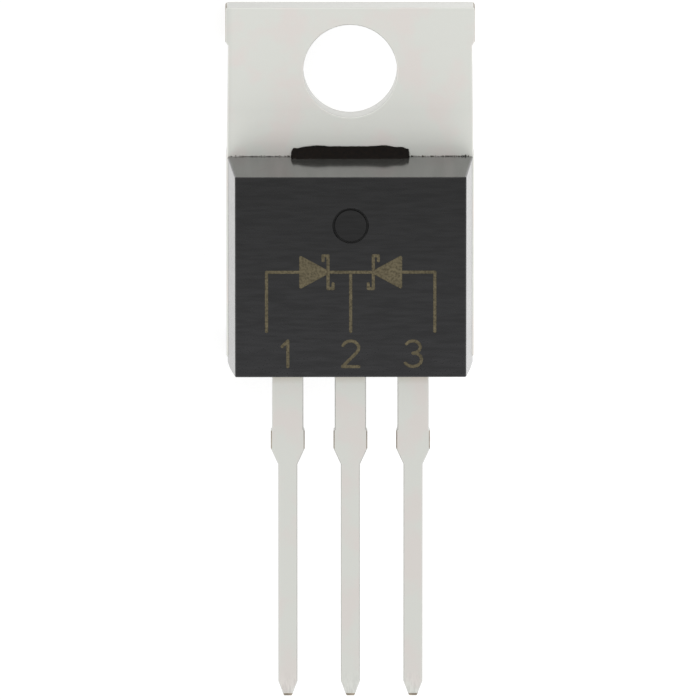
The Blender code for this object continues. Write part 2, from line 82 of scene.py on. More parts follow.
SHEARED_DEPTH = 0.004 * MM  # of the lines and the torn part of a plated sheared edge
COPPER_DEPTH = 0.003 * MM  # of the lines on bare copper
SYMBOL_CATHODE = 0.36  # of the lead pitch: the symbol's bars from its middle
SYMBOL_HOOK = 0.30  # of half a triangle's height: the hooks of its bars
SYMBOL_BASE = 0.9  # of half a triangle's height: half the triangle's base
COOL_TIN = (0.975, 0.985, 0.965)  # tints of the tin's patches
WARM_TIN = (1.0, 0.955, 0.945)
TENT_OPENING = 18  # degrees off straight up, where the tent's dim top begins to brighten
TENT_RIM = 42  # and where it is as bright as the walls
TABLE_TONES = ("#939393", "#979797")  # of the light table's acrylic
SENSOR_WIDTH = 36.0  # camera's, in millimetres as Blender counts it
SOFTBOX_PLACE = (-0.12, -0.06, 0.45)
SOFTBOX_SIZE = 0.30
TABLE_DROP = 0.01 * MM  # the table's top below the tab's back

# Material slots of the moulding, and of the tab and the leads
MATT, BURNT, TORN, DRAWN, PIN_DISC, PIN_RIM = range(6)
TAB_TIN, COPPER, TAB_EDGE, LEAD_EDGE, LEAD_TIN = range(5)


def linear(hex_colour):
    """Linear RGB of an sRGB colour such as "#8a7b5e"."""
    channels = [int(hex_colour[i : i + 2], 16) / 255 for i in (1, 3, 5)]
    return tuple(c / 12.92 if c <= 0.04045 else ((c + 0.055) / 1.055) ** 2.4 for c in channels)


def length(name, description, default):
    """A size in metres."""
    return FloatProperty(
        name=name, description=description, default=default, min=0.0, precision=6, unit="LENGTH"
    )


def number(name, description, default, unit="NONE"):
    """A factor, a brightness or a power."""
    return FloatProperty(name=name, description=description, default=default, min=0.0, unit=unit)


def angle(name, description, degrees):
    """An angle, given in degrees."""
    default = math.radians(degrees)
    return FloatProperty(name=name, description=description, default=default, unit="ROTATION")


def colour(name, description, hex_colour):
    """A colour, given as an sRGB hex value."""
    default = linear(hex_colour)
    return FloatVectorProperty(
        name=name, description=description, default=default, min=0.0, max=1.0, subtype="COLOR"
    )


class PackageFinish(bpy.types.PropertyGroup):
    """Colours and grain sizes of the package's surfaces."""

    compound_colour: colour("Compound", "Epoxy moulding compound, matt", "#0a0a0b")
    # Painted light: the sides and top face get this paler grey rather than the compound's black, standing
    # in for the light they catch at a grazing angle.
    drawn_painted_light_colour: colour("Drawn compound", "The compound's satin sides, dusty with filler", "#3d3d3b")
    # Painted light: the front's colour is made paler towards its lead end, standing in for light on it.
    front_painted_light: number("Lead end paleness", "How much paler the front is at its lead end", 4.5)
    compound_grain: length("Compound grain", "Grain of the spark-eroded mould's surface", 0.09 * MM)
    flow_streak: length("Flow streak", "Width of the faint streaks across the body", 0.12 * MM)
    draw_streak: length("Draw streak", "Width of the streaks down the satin sides", 0.40 * MM)
    snapped_colour: colour("Snapped compound", "Broken gate", "#16120f")
    snapped_grain: length("Snapped grain", "Grain of the torn filler in the broken gate", 0.13 * MM)
    snapped_depth: length("Snapped depth", "Depth of the torn grain", 0.012 * MM)
    flash_colour: colour("Flash", "Thick flash of the compound", "#14110c")
    flash_thin_colour: colour("Thin flash", "Thin flash, which lets light in", "#4a4030")
    flash_speck: length("Flash speck", "Size of the thick and thin spots in the flash", 0.3 * MM)
    flash_spacing: length("Flash spacing", "Least distance between crumbs of flash", 0.05 * MM)
    flash_size: length("Flash size", "Size of the crumbs of flash", 0.040 * MM)
    mark_colour: colour("Laser mark", "Compound burnt by the marking laser", "#6b624a")
    mark_pulse: length("Laser pulse", "Spacing of the laser's pulses", 0.09 * MM)
    mark_blotch: length("Laser blotch", "Size of the unevenly burnt patches", 0.5 * MM)
    tin_colour: colour("Tin", "Matt tin plating", "#f0f0ec")
    edge_colour: colour("Tin on edges", "Tin on edges sheared by the stamping tool", "#cfcfcb")
    tin_grain: length("Tin grain", "Crystals of the matt tin", 0.05 * MM)
    tin_patch: length("Tin patch", "Size of the warm and cool patches of the tin", 1.6 * MM)
    rolling_line: length("Rolling line", "Width of the lines that rolling left across the strip", 0.05 * MM)
    # Painted shade along the tab's left edge.
    left_edge_painted_shade: length("Dull edge", "Width of the duller band along the tab's left edge", 0.3 * MM)
    # Painted light: how far and how much the tab's tin is made paler beside the body, against the shade the
    # moulding casts on it.
    seam_light_reach: length("Press reach", "How far the mould pressed the tab's tin smooth", 1.9 * MM)
    seam_painted_light: number("Press paleness", "How much paler the pressed tin is", 1.10)
    bleed_colour: colour("Resin bleed", "Resin that bled out of the body onto the leads", "#b9ad94")
    bleed_reach: length("Bleed reach", "How far the resin bled along the leads", 0.5 * MM)
    scuff_width: length("Scuff width", "Width of the scuffs at the lead tips", 0.06 * MM)
    scuff_reach: length("Scuff reach", "How far the scuffs run up from the tips", 1.1 * MM)
    drag_line: length("Drag line", "Width of the tool's drag lines on sheared edges", 0.03 * MM)
    torn_grain: length("Torn grain", "Grain of the torn part of sheared edges", 0.08 * MM)
    copper_colour: colour("Copper", "Bare copper at sheared edges", "#a69b8b")
    copper_stain: length("Copper stain", "Size of the stains on bare copper", 0.25 * MM)
    silicon_colour: colour("Silicon", "Polished chips", "#3b3e46")
    silicon_patch: length("Silicon patch", "Size of the faint patches on the chips", 0.2 * MM)
    solder_colour: colour("Solder", "Soft solder under the chips", "#a9a9ab")
    solder_grain: length("Solder grain", "Flecks of the solder", 0.15 * MM)
    wire_colour: colour("Wire", "Drawn aluminium of the bond wires", "#e0e0e4")
    wire_grain: length("Wire grain", "Flecks of the wires", 0.04 * MM)


class PackageMarking(bpy.types.PropertyGroup):
    """Sizes of the generic marking: a double diode symbol and the lead numbers."""

    stroke_width: length("Stroke", "Width of a laser stroke", 0.13 * MM)
    depth: length("Depth", "Depth of the burnt strokes", 0.010 * MM)
    digit_height: length("Digit height", "Height of the lead numbers", 1.06 * MM)
    digit_width: length("Digit width", "Width of the lead numbers", 0.66 * MM)
    digit_foot: length("Digit foot", "Foot of the numbers above the body's lead end", 0.56 * MM)
    symbol_rise: length("Symbol", "Symbol's middle line above the body's lead end", 4.45 * MM)
    symbol_reach: length("Symbol reach", "Symbol's outer ends from the middle", 3.40 * MM)
    triangle_height: length("Triangle height", "Height of a diode's triangle", 1.35 * MM)
    triangle_length: length("Triangle length", "Length of a diode's triangle", 1.10 * MM)


class PackageStudio(bpy.types.PropertyGroup):
    """Camera, floor and light."""

    view_tilt: angle("View tilt", "Camera's lean towards the tab", 11.5)
    view_turn: angle("View turn", "Camera's lean to the left", 0.35)
    field_width: length("Field width", "Width that the picture takes in", 28.455 * MM)
    field_middle: length("Field middle", "Picture's middle on the floor, towards the leads", 0.315 * MM)
    camera_distance: length("Camera distance", "Distance of the camera", 0.80)
    floor_size: length("Floor", "Side of the floor", 0.80)
    tent_wall: number("Tent wall", "Brightness of the tent's sides", 1.05)
    tent_top: number("Tent top", "Brightness round the lens opening", 0.64)
    table_glow: number("Table glow", "Brightness of the light table, on the left", 0.78)
    table_gain: number("Table gain", "How much brighter the light table is on the right", 1.15)
    softbox_power: number("Softbox", "Power of the overhead softbox", 0.05, "POWER")


def add_node(material, kind, settings=None, inputs=None):
    """Adds a node; settings are its own properties, inputs are values, or sockets to link."""
    tree = getattr(material, "node_tree", material)
    node = tree.nodes.new(kind)
    for name, value in (settings or {}).items():
        setattr(node, name, value)
    for key, value in (inputs or {}).items():
        if isinstance(value, bpy.types.NodeSocket):
            tree.links.new(value, node.inputs[key])
        else:
            node.inputs[key].default_value = value
    return node


def new_material(name, **constants):
    """A Principled material with these constants; returns it with its shader and coordinates."""
    material = bpy.data.materials.new(name)
    material.use_nodes = True
    shader = material.node_tree.nodes["Principled BSDF"]
    for key, value in constants.items():
        shader.inputs[key.replace("_", " ")].default_value = value
    place = add_node(material, "ShaderNodeTexCoord").outputs["Object"]
    return material, shader, place


def grain(material, place, size, detail=2.0, stretch=(1.0, 1.0, 1.0)):
    """Noise with features of this size; stretch lengthens them along an axis."""
    scale = [1 / (size * factor) for factor in stretch]
    mapped = add_node(material, "ShaderNodeMapping", None, {"Vector": place, "Scale": scale})
    inputs = {"Vector": mapped.outputs[0], "Scale": 1.0, "Detail": detail}
    return add_node(material, "ShaderNodeTexNoise", None, inputs).outputs["Fac"]


def axes(material, place):
    """X, Y and Z of a place as numbers."""
    return add_node(material, "ShaderNodeSeparateXYZ", None, {0: place}).outputs


def ramp(material, value, low, high, start=0.35, end=0.65):
    """Maps start to end onto low to high; unless given, they are a noise's middle range."""
    inputs = {"Value": value, 1: start, 2: end, 3: low, 4: high}
    return add_node(material, "ShaderNodeMapRange", None, inputs).outputs[0]


def blend_number(material, factor, first, second):
    inputs = {"Factor": factor, 2: first, 3: second}
    return add_node(material, "ShaderNodeMix", None, inputs).outputs[0]


def blend_colour(material, factor, first, second):
    """Blends from the first colour, linear RGB or a socket, to the second."""
    if not isinstance(first, bpy.types.NodeSocket):
        first = (*first, 1.0)
    inputs = {"Factor": factor, 6: first, 7: (*second, 1.0)}
    return add_node(material, "ShaderNodeMix", {"data_type": "RGBA"}, inputs).outputs[2]


def multiply_colour(material, tone, factor):
    """Multiplies a colour socket by a number socket."""
    settings = {"data_type": "RGBA", "blend_type": "MULTIPLY"}
    inputs = {"Factor": 1.0, 6: tone, 7: factor}
    return add_node(material, "ShaderNodeMix", settings, inputs).outputs[2]


def shade(rgb, factor):
    return tuple(min(1.0, channel * factor) for channel in rgb)


def mottled(material, noise_value, base, darkest, lightest=1.0):
    """A base colour that a noise value varies between two factors."""
    share = ramp(material, noise_value, 0.0, 1.0)
    return blend_colour(material, share, shade(base, darkest), shade(base, lightest))


def cover(material, shader, tone, roughness):
    """Links a colour and a roughness to the shader."""
    material.node_tree.links.new(tone, shader.inputs["Base Color"])
    material.node_tree.links.new(roughness, shader.inputs["Roughness"])


def bump(material, shader, height, distance):
    inputs = {"Height": height, "Distance": distance, "Strength": 1.0}
    normal = add_node(material, "ShaderNodeBump", None, inputs).outputs[0]
    material.node_tree.links.new(normal, shader.inputs["Normal"])


def moulding_compound(
    name,
    finish,
    base,
    rough,
    ior=1.5,
    lead_end=1.0,
    run=(8.0, 1.0, 1.0),
    width=None,
    unevenness=0.18,
    sheen=0.035,
):
    # Filled epoxy pressed in a mould: an even black, matt where the mould was spark eroded and satin
    # where it was polished. Its tone varies by the unevenness and its shine by the sheen, in streaks
    # of a width along a run. lead_end is painted light: how much paler the colour is made at the leads.
    material, shader, place = new_material(name, IOR=ior)
    streak = grain(material, place, width or finish.flow_streak, detail=3.0, stretch=run)
    pits = grain(material, place, finish.compound_grain, detail=3.0)
    streaked = mottled(material, streak, base, 1 - unevenness, 1 + unevenness)
    # Painted light: the colour grows paler towards the lead end by lead_end, standing in for light on the
    # front.
    paler = ramp(material, axes(material, place)["Y"], lead_end, 1.0, BODY_LOW.y, BODY_TOP)
    tone = multiply_colour(material, streaked, paler)
    cover(material, shader, tone, ramp(material, pits, *rough))
    shine = ramp(material, streak, 0.5 - sheen, 0.5 + sheen)
    material.node_tree.links.new(shine, shader.inputs["Specular IOR Level"])
    bump(material, shader, pits, PIT_DEPTH * rough[1])
    return material


def snapped_compound(finish):
    # The same epoxy where the gate was snapped off: granular, darker and slightly brown.
    material, shader, place = new_material("epoxy_compound_snapped_gate", Specular_IOR_Level=0.12)
    crumbs = grain(material, place, finish.snapped_grain, detail=4.0)
    tone = mottled(material, crumbs, finish.snapped_colour, 0.6, 1.5)
    cover(material, shader, tone, ramp(material, crumbs, 0.7, 0.9))
    bump(material, shader, crumbs, finish.snapped_depth)
    return material


def moulding_flash(finish):
    # Flash of the compound, squeezed out between the mould and the tab: dull, and brownish where it is
    # thin and light gets into it.
    material, shader, place = new_material("epoxy_compound_flash", Specular_IOR_Level=0.15)
    specks = grain(material, place, finish.flash_speck)
    share = ramp(material, specks, 0.0, 1.0)
    tone = blend_colour(material, share, finish.flash_colour, finish.flash_thin_colour)
    cover(material, shader, tone, ramp(material, specks, 0.45, 0.7))
    return material


def laser_mark(finish):
    # Epoxy burnt by a marking laser: dull tan, broken up by the beam's pulses and the filler. The
    # pulses are drawn coarser than real ones, so that they show.
    material, shader, place = new_material("epoxy_compound_laser_burnt", IOR=1.42)
    pulses = grain(material, place, finish.mark_pulse)
    blotch = grain(material, place, finish.mark_blotch)
    base = finish.mark_colour
    burnt = ramp(material, pulses, 0.0, 1.0, 0.3, 0.6)
    worn = blend_colour(material, burnt, shade(base, 0.5), base)
    tone = multiply_colour(material, worn, ramp(material, blotch, 0.75, 1.0, 0.3, 0.7))
    cover(material, shader, tone, ramp(material, pulses, 0.85, 0.65))
    bump(material, shader, pulses, PULSE_DEPTH)
    return material


def matt_tin(name, finish, base, pressed=1.0, bleed=0.0):
    # Matt tin plated on rolled copper strip: a soft white metal with fine lines across the strip, warm
    # and cool in patches, stained where resin bled onto the leads and scuffed where the leads were cut
    # off. Painted shade darkens it along the tab's left edge; painted light by pressed makes it paler
    # beside the body, against the moulding's shade there. Its crystals and lines are drawn coarser than
    # real ones, so that they show.
    material, shader, place = new_material(name, Metallic=1.0)
    lines = grain(material, place, finish.rolling_line, stretch=(60.0, 1.0, 1.0))
    crystals = grain(material, place, finish.tin_grain)
    patches = grain(material, place, finish.tin_patch, detail=3.0)
    clouds = ramp(material, patches, 0.0, 1.0, 0.47, 0.62)
    cool, warm = ([c * t for c, t in zip(base, tint)] for tint in (COOL_TIN, WARM_TIN))
    where = axes(material, place)
    # Painted shade: the tin darkens towards the tab's left edge.
    edge = ramp(material, where["X"], 0.9, 1.0, TAB_LOW.x, TAB_LOW.x + finish.left_edge_painted_shade)
    tone = multiply_colour(material, blend_colour(material, clouds, cool, warm), edge)
    reach = finish.seam_light_reach
    # Painted light: paler tin near the body, lifting the shade the moulding casts on the tab.
    seam_light_band = ramp(material, where["Y"], 1.0, pressed, BODY_TOP + reach, BODY_TOP + reach / 3)
    tone = multiply_colour(material, tone, seam_light_band)
    smear = ramp(material, where["Y"], 0.0, bleed, BODY_LOW.y - finish.bleed_reach, BODY_LOW.y)
    tone = blend_colour(material, smear, tone, finish.bleed_colour)
    tip, scuff_end = LEAD_LOW.y + TIP_WEDGE, LEAD_LOW.y + finish.scuff_reach
    near_tip = ramp(material, where["Y"], 1.0, 0.0, tip, scuff_end)
    streaks = grain(material, place, finish.scuff_width, stretch=(1.0, 5.0, 1.0))
    scuffed = ramp(material, streaks, 0.92, 1.08, 0.4, 0.6)
    tone = multiply_colour(material, tone, blend_number(material, near_tip, 1.0, scuffed))
    cover(material, shader, tone, ramp(material, crystals, 0.40, 0.48))
    bump(material, shader, lines, ROLLED_DEPTH)
    return material


def sheared_tin(name, finish, low, high):
    # Tin over a sheared edge: a burnished band with drag lines on one side, a torn duller one on the
    # other, and a ragged border. The drag lines are drawn coarse enough to show.
    material, shader, place = new_material(name, Metallic=1.0)
    drag = grain(material, place, finish.drag_line, stretch=(1.0, 1.0, 14.0))
    torn = grain(material, place, finish.torn_grain, detail=3.0)
    share = ramp(material, axes(material, place)["Z"], 0.0, 1.0, low, high)
    inputs = {0: torn, 1: 0.25, 2: share}
    uneven = add_node(material, "ShaderNodeMath", {"operation": "MULTIPLY_ADD"}, inputs)
    fracture = ramp(material, uneven.outputs[0], 1.0, 0.0, 0.42, 0.50)
    base = finish.edge_colour
    tone = blend_colour(material, fracture, base, shade(base, 1.06))
    cover(material, shader, tone, ramp(material, fracture, 0.36, 0.50, 0.0, 1.0))
    bump(material, shader, blend_number(material, fracture, drag, torn), SHEARED_DEPTH)
    return material


def sheared_copper(finish):
    # Copper sheared after plating: brown where air got at it, with the tool's drag lines, drawn coarse
    # enough to show.
    material, shader, place = new_material("copper_sheared_edge", Metallic=1.0)
    drag = grain(material, place, finish.drag_line, stretch=(1.0, 1.0, 12.0))
    stain = grain(material, place, finish.copper_stain, detail=3.0)
    tone = mottled(material, stain, finish.copper_colour, 0.6)
    cover(material, shader, tone, ramp(material, drag, 0.35, 0.6))
    bump(material, shader, drag, COPPER_DEPTH)
    return material


def inner_metal(name, base, size, rough):
    # Metals that the moulding hides: solder and drawn aluminium wire, both finely grained.
    material, shader, place = new_material(name, Metallic=1.0)
    flecks = grain(material, place, size)
    tone = mottled(material, flecks, base, 0.85)
    cover(material, shader, tone, ramp(material, flecks, rough - 0.06, rough + 0.06))
    return material


def polished_silicon(finish):
    # Polished silicon chip: dark blue grey and glossy.
    material, shader, place = new_material("silicon_polished", Roughness=0.15, IOR=3.4)
    patches = grain(material, place, finish.silicon_patch, detail=1.0)
    tone = mottled(material, patches, finish.silicon_colour, 0.9, 1.1)
    material.node_tree.links.new(tone, shader.inputs["Base Color"])
    return material


def white_table(studio):
    # Opal acrylic light table, lit from below, more to the right: it hardly takes a shadow.
    material, shader, place = new_material(
        "acrylic_opal_glowing",
        Roughness=0.6,
        Specular_IOR_Level=0.2,
        Emission_Color=(1.0, 1.0, 1.0, 1.0),
    )
    haze = ramp(material, grain(material, place, studio.floor_size / 10, detail=1.0), 0.0, 1.0)
    tone = blend_colour(material, haze, *map(linear, TABLE_TONES))
    material.node_tree.links.new(tone, shader.inputs["Base Color"])
    left, right = studio.table_glow, studio.table_glow * studio.table_gain
    strength = ramp(material, axes(material, place)["X"], left, right, BODY_LOW.x, BODY_HIGH.x)
    material.node_tree.links.new(strength, shader.inputs["Emission Strength"])
    return material


def add_object(name, data):
    obj = bpy.data.objects.new(name, data)
    bpy.context.scene.collection.objects.link(obj)
    return obj


def solid_copy(node, name):
    """A merged copy of a CAD node's mesh as an object of its own."""
    bm = bmesh.new()
    bm.from_mesh(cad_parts[node].data)
    bmesh.ops.remove_doubles(bm, verts=bm.verts, dist=WELD)
    bmesh.ops.dissolve_limit(bm, angle_limit=FLAT_ANGLE, verts=bm.verts, edges=bm.edges)
    mesh = bpy.data.meshes.new(name)
    bm.to_mesh(mesh)
    bm.free()
    return add_object(name, mesh)


def settle(obj):
    """Turns the evaluated object into a plain mesh without modifiers."""
    graph = bpy.context.evaluated_depsgraph_get()
    mesh = bpy.data.meshes.new_from_object(obj.evaluated_get(graph))
    mesh.name = obj.name
    obj.modifiers.clear()
    obj.data = mesh
    return obj


def smooth(obj, degrees=35):
    """Rounds the narrow facets for the eye and leaves the wide faces flat."""
    obj.data.shade_smooth()
    obj.data.set_sharp_from_angle(angle=math.radians(degrees))
    weighted = obj.modifiers.new("weighted", "WEIGHTED_NORMAL")
    weighted.keep_sharp = True
    weighted.weight = 100
    settle(obj)
    normals = [corner.vector.copy() for corner in obj.data.corner_normals]
    for face in obj.data.polygons:
        if face.area > WIDE_FACE:
            for corner in face.loop_indices:
                normals[corner] = face.normal
    obj.data.normals_split_custom_set(normals)
    return obj


def arc(x, y, radius_x, radius_y, start, end, steps=8):
    """Points on an ellipse between two angles in degrees."""
    angles = [math.radians(start + (end - start) * i / steps) for i in range(steps + 1)]
    return [(x + radius_x * math.cos(a), y + radius_y * math.sin(a)) for a in angles]


def digit_paths(digit, x, foot, width, height):
    """Strokes of 1, 2 or 3 on a foot line, drawn in shares of the digit's width and height."""
    left, right, top = x - width / 2, x + width / 2, foot + height
    if digit == 1:
        return [[(x - width * 0.35, top - height * 0.22), (x, top), (x, foot)]]
    bowl = height * 0.27
    if digit == 2:
        curve = arc(x, top - bowl, width / 2, bowl, 160, -40)
        return [curve + [(left, foot), (right, foot)]]
    upper = arc(x - width * 0.04, top - height * 0.24, width * 0.46, height * 0.24, 150, -90)
    lower = arc(x - width * 0.04, foot + height * 0.27, width * 0.54, height * 0.27, 90, -150)
    return [upper + lower[1:]]


def diode_paths(side, line, marking):
    """One diode of the symbol on a line, pointing to the common cathode in the middle."""
    tall = marking.triangle_height / 2
    near = LEAD_PITCH * SYMBOL_CATHODE
    far = near + marking.triangle_length
    hook = tall * SYMBOL_HOOK
    base = tall * SYMBOL_BASE
    bar = [
        (side * (near + hook), line + tall - hook),
        (side * (near + hook), line + tall),
        (side * near, line + tall),
        (side * near, line - tall),
        (side * (near - hook), line - tall),
        (side * (near - hook), line - tall + hook),
    ]
    tip = (side * near, line)
    outline = [tip, (side * far, line + base), (side * far, line - base), tip]
    hatch = []
    rows = int(marking.triangle_length / (marking.stroke_width * 0.8))  # near enough to overlap
    for row in range(1, rows):
        share = row / rows
        x = side * (near + marking.triangle_length * share)
        reach = base * share
        hatch.append([(x, line - reach), (x, line + reach)])
    return [bar, outline, *hatch, [(side * far, line), (side * marking.symbol_reach, line)]]


def marking_paths(marking):
    line = BODY_LOW.y + marking.symbol_rise
    foot = BODY_LOW.y + marking.digit_foot
    drop = foot + marking.digit_height + 3 * marking.stroke_width
    cathode = LEAD_PITCH * SYMBOL_CATHODE
    paths = [[(-cathode, line), (cathode, line)], [(0.0, line), (0.0, drop)]]
    for side in (-1, 1):
        paths += diode_paths(side, line, marking)
        paths.append([(side * marking.symbol_reach, line), (side * marking.symbol_reach, drop)])
    for digit in (1, 2, 3):
        x = (digit - 2) * LEAD_PITCH
        paths += digit_paths(digit, x, foot, marking.digit_width, marking.digit_height)
    return paths


def begin_tree(name, sizes):
    """A Geometry Nodes tree with an input for each size; returns it with its inputs' sockets."""
    tree = bpy.data.node_groups.new(name, "GeometryNodeTree")
    tree.interface.new_socket("Geometry", in_out="INPUT", socket_type="NodeSocketGeometry")
    for size, kind in sizes.items():
        tree.interface.new_socket(size, in_out="INPUT", socket_type=kind)
    tree.interface.new_socket("Geometry", in_out="OUTPUT", socket_type="NodeSocketGeometry")
    return tree, add_node(tree, "NodeGroupInput").outputs


def end_tree(tree, geometry, material):
    """Ends a tree in Realize Instances and Set Material."""
    whole = add_node(tree, "GeometryNodeRealizeInstances", None, {"Geometry": geometry})
    inputs = {"Geometry": whole.outputs[0], "Material": material}
    painted = add_node(tree, "GeometryNodeSetMaterial", None, inputs)
    add_node(tree, "NodeGroupOutput", None, {0: painted.outputs[0]})
    return tree


def grow(obj, tree, values):
    """Puts a tree on an object and sets its inputs by their sockets' identifiers."""
    modifier = obj.modifiers.new(tree.name, "NODES")
    modifier.node_group = tree
    for item in tree.interface.items_tree:
        if item.item_type == "SOCKET" and item.in_out == "INPUT" and item.name in values:
            modifier[item.identifier] = values[item.name]


def stroke_tree(material):
    """Geometry Nodes that turn paths into round-ended strokes of one width and depth."""
    sizes = {"Stroke Width": "NodeSocketFloat", "Stroke Depth": "NodeSocketFloat"}
    tree, given = begin_tree("laser_strokes", sizes)
    width, depth = given["Stroke Width"], given["Stroke Depth"]
    wire = add_node(tree, "GeometryNodeCurveToMesh", None, {"Curve": given["Geometry"]})
    split = add_node(tree, "GeometryNodeSplitEdges", None, {"Mesh": wire.outputs[0]})
    single = add_node(tree, "GeometryNodeMeshToCurve", None, {"Mesh": split.outputs[0]})
    level = {"Curve": single.outputs[0]}
    curve = add_node(tree, "GeometryNodeSetCurveNormal", {"mode": "Z_UP"}, level)
    size = {"Width": width, "Height": depth}
    section = add_node(tree, "GeometryNodeCurvePrimitiveQuadrilateral", None, size)
    swept = {"Curve": curve.outputs[0], "Profile Curve": section.outputs[0], "Fill Caps": True}
    strip = add_node(tree, "GeometryNodeCurveToMesh", None, swept)
    radius = add_node(tree, "ShaderNodeMath", {"operation": "MULTIPLY"}, {0: width, 1: 0.5})
    size = {"Vertices": 12, "Radius": radius.outputs[0], "Depth": depth}
    plug = add_node(tree, "GeometryNodeMeshCylinder", None, size)
    paths = {"Curve": given["Geometry"]}
    corners = add_node(tree, "GeometryNodeCurveToPoints", {"mode": "EVALUATED"}, paths)
    placing = {"Points": corners.outputs[0], "Instance": plug.outputs[0]}
    plugs = add_node(tree, "GeometryNodeInstanceOnPoints", None, placing)
    loose = add_node(tree, "GeometryNodeRealizeInstances", None, {"Geometry": plugs.outputs[0]})
    joined = add_node(tree, "GeometryNodeJoinGeometry")
    for part in (strip.outputs[0], loose.outputs[0]):
        tree.links.new(part, joined.inputs[0])
    united = add_node(
        tree,
        "GeometryNodeMeshBoolean",
        {"operation": "UNION", "solver": "EXACT"},
        {"Mesh 2": joined.outputs[0], "Self Intersection": True},
    )
    return end_tree(tree, united.outputs[0], material)


def laser_strokes(marking, material):
    """The marking as one closed cutter that sinks into the marked face."""
    curve = bpy.data.curves.new("laser_paths", "CURVE")
    curve.dimensions = "3D"
    for path in marking_paths(marking):
        spline = curve.splines.new("POLY")
        spline.points.add(len(path) - 1)
        for point, (x, y) in zip(spline.points, path):
            point.co = (x, y, BODY_HIGH.z, 1.0)
    obj = add_object("laser_strokes", curve)
    sizes = {"Stroke Width": marking.stroke_width, "Stroke Depth": 2 * marking.depth}
    grow(obj, stroke_tree(material), sizes)
    graph = bpy.context.evaluated_depsgraph_get()
    mesh = bpy.data.meshes.new_from_object(obj.evaluated_get(graph))
    bpy.data.objects.remove(obj)
    return add_object("laser_cutter", mesh)


def crumb_tree(material):
    """Geometry Nodes that scatter crumbs of unequal size over a surface."""
    sizes = {
        "Spacing": "NodeSocketFloat",
        "Crumb Size": "NodeSocketFloat",
        "Crowding": "NodeSocketFloat",
        "Seed": "NodeSocketInt",
    }
    tree, given = begin_tree("crumbs", sizes)
    spread = {
        "Mesh": given["Geometry"],
        "Distance Min": given["Spacing"],
        "Density Max": given["Crowding"],
        "Seed": given["Seed"],
    }
    settings = {"distribute_method": "POISSON"}
    points = add_node(tree, "GeometryNodeDistributePointsOnFaces", settings, spread)
    size = {"Radius": given["Crumb Size"], "Subdivisions": 1}
    crumb = add_node(tree, "GeometryNodeMeshIcoSphere", None, size)
    turns = {0: (0.0, 0.0, 0.0), 1: (math.tau, math.tau, math.tau), 8: given["Seed"]}
    turn = add_node(tree, "FunctionNodeRandomValue", {"data_type": "FLOAT_VECTOR"}, turns)
    stretches = {0: (0.5, 0.4, 0.3), 1: (1.5, 1.0, 0.8), 8: given["Seed"]}
    stretch = add_node(tree, "FunctionNodeRandomValue", {"data_type": "FLOAT_VECTOR"}, stretches)
    placing = {
        "Points": points.outputs["Points"],
        "Instance": crumb.outputs["Mesh"],
        "Rotation": turn.outputs[0],
        "Scale": stretch.outputs[0],
    }
    placed = add_node(tree, "GeometryNodeInstanceOnPoints", None, placing)
    return end_tree(tree, placed.outputs[0], material)


def flash_crumbs(finish):
    """Crumbs of flash along the seam where the moulding's top face meets the tab."""
    reach = BODY_HIGH.x - SEAM_MARGIN
    seam = bmesh.new()
    corners = [(-reach, 0.0), (reach, 0.0), (reach, SEAM_WIDTH), (-reach, SEAM_WIDTH)]
    seam.faces.new([seam.verts.new((x, BODY_TOP + y, TAB_FRONT)) for x, y in corners])
    mesh = bpy.data.meshes.new("flash_crumbs")
    seam.to_mesh(mesh)
    seam.free()
    obj = add_object("flash_crumbs", mesh)
    values = {
        "Spacing": finish.flash_spacing,
        "Crumb Size": finish.flash_size,
        "Crowding": 4 / finish.flash_spacing**2,  # more than fit, so the spacing decides
        "Seed": 3,
    }
    grow(obj, crumb_tree(moulding_flash(finish)), values)
    return settle(obj)


def tear_break(body, finish):
    """Gives the snapped gate's face its torn grain in the mesh."""
    bm = bmesh.new()
    bm.from_mesh(body.data)
    torn = [face for face in bm.faces if face.material_index == TORN]
    corners = [vert.co for face in torn for vert in face.verts]
    for axis in (0, 1):
        low = min(co[axis] for co in corners)
        high = max(co[axis] for co in corners)
        cuts = int((high - low) / (finish.snapped_grain * 0.6))  # fine enough to carry the grain
        normal = Vector((0.0, 0.0, 0.0))
        normal[axis] = 1.0
        for cut in range(1, cuts):
            torn = [face for face in bm.faces if face.material_index == TORN]
            geom = {vert for face in torn for vert in face.verts}
            geom |= {edge for face in torn for edge in face.edges}
            place = normal * (low + (high - low) * cut / cuts)
            bmesh.ops.bisect_plane(bm, geom=[*geom, *torn], dist=WELD, plane_co=place, plane_no=normal)
    for vert in bm.verts:
        if vert.link_faces and all(face.material_index == TORN for face in vert.link_faces):
            coarse = noise.noise(vert.co / finish.snapped_grain)
            fine = noise.noise(vert.co / finish.snapped_grain * 3.1)
            vert.co += vert.normal * finish.snapped_depth * (coarse + 0.5 * fine)
    bm.to_mesh(body.data)
    bm.free()


def moulding_finish(face, depth):
    """Material slot of a face of the moulding, whose marking is cut this deep."""
    sunk = BODY_HIGH.z - face.center.z
    at_pin = math.dist(face.center[:2], (0.0, PIN_MARK_Y)) < PIN_MARK_REACH
    if at_pin and sunk > WELD:
        # Painted shade: the pin mark's groove takes the darkened rim material.
        return PIN_DISC if abs(sunk - PIN_MARK_SINK) < WELD else PIN_RIM
    if abs(sunk - depth) < depth / 10:
        return BURNT
    on_gate = face.normal.z > 0.3 or face.center.y > BODY_TOP
    if on_gate and face.center.y > BODY_TOP - GATE_ROOT:
        return TORN
    # Faces that do not face the front take the drawn satin, whose paler colour is painted light.
    return DRAWN if abs(face.normal.z) < 0.5 else MATT


def leadframe_finish(face):
    """Material slot of a face of the tab or a lead."""
    at_stub = STUB_LOW < face.center.y < STUB_HIGH
    at_ear = face.center.y > EAR_LOW and abs(face.center.x) > EAR_INNER
    faces_sideways = abs(face.normal.x) > 0.7
    if face.center.y < LEAD_LOW.y + TIP_WEDGE or (faces_sideways and (at_stub or at_ear)):
        return COPPER
    if abs(face.normal.z) < 0.8:
        return TAB_EDGE if face.center.z < TAB_FRONT else LEAD_EDGE
    return TAB_TIN if face.center.z < TAB_FRONT + WELD else LEAD_TIN


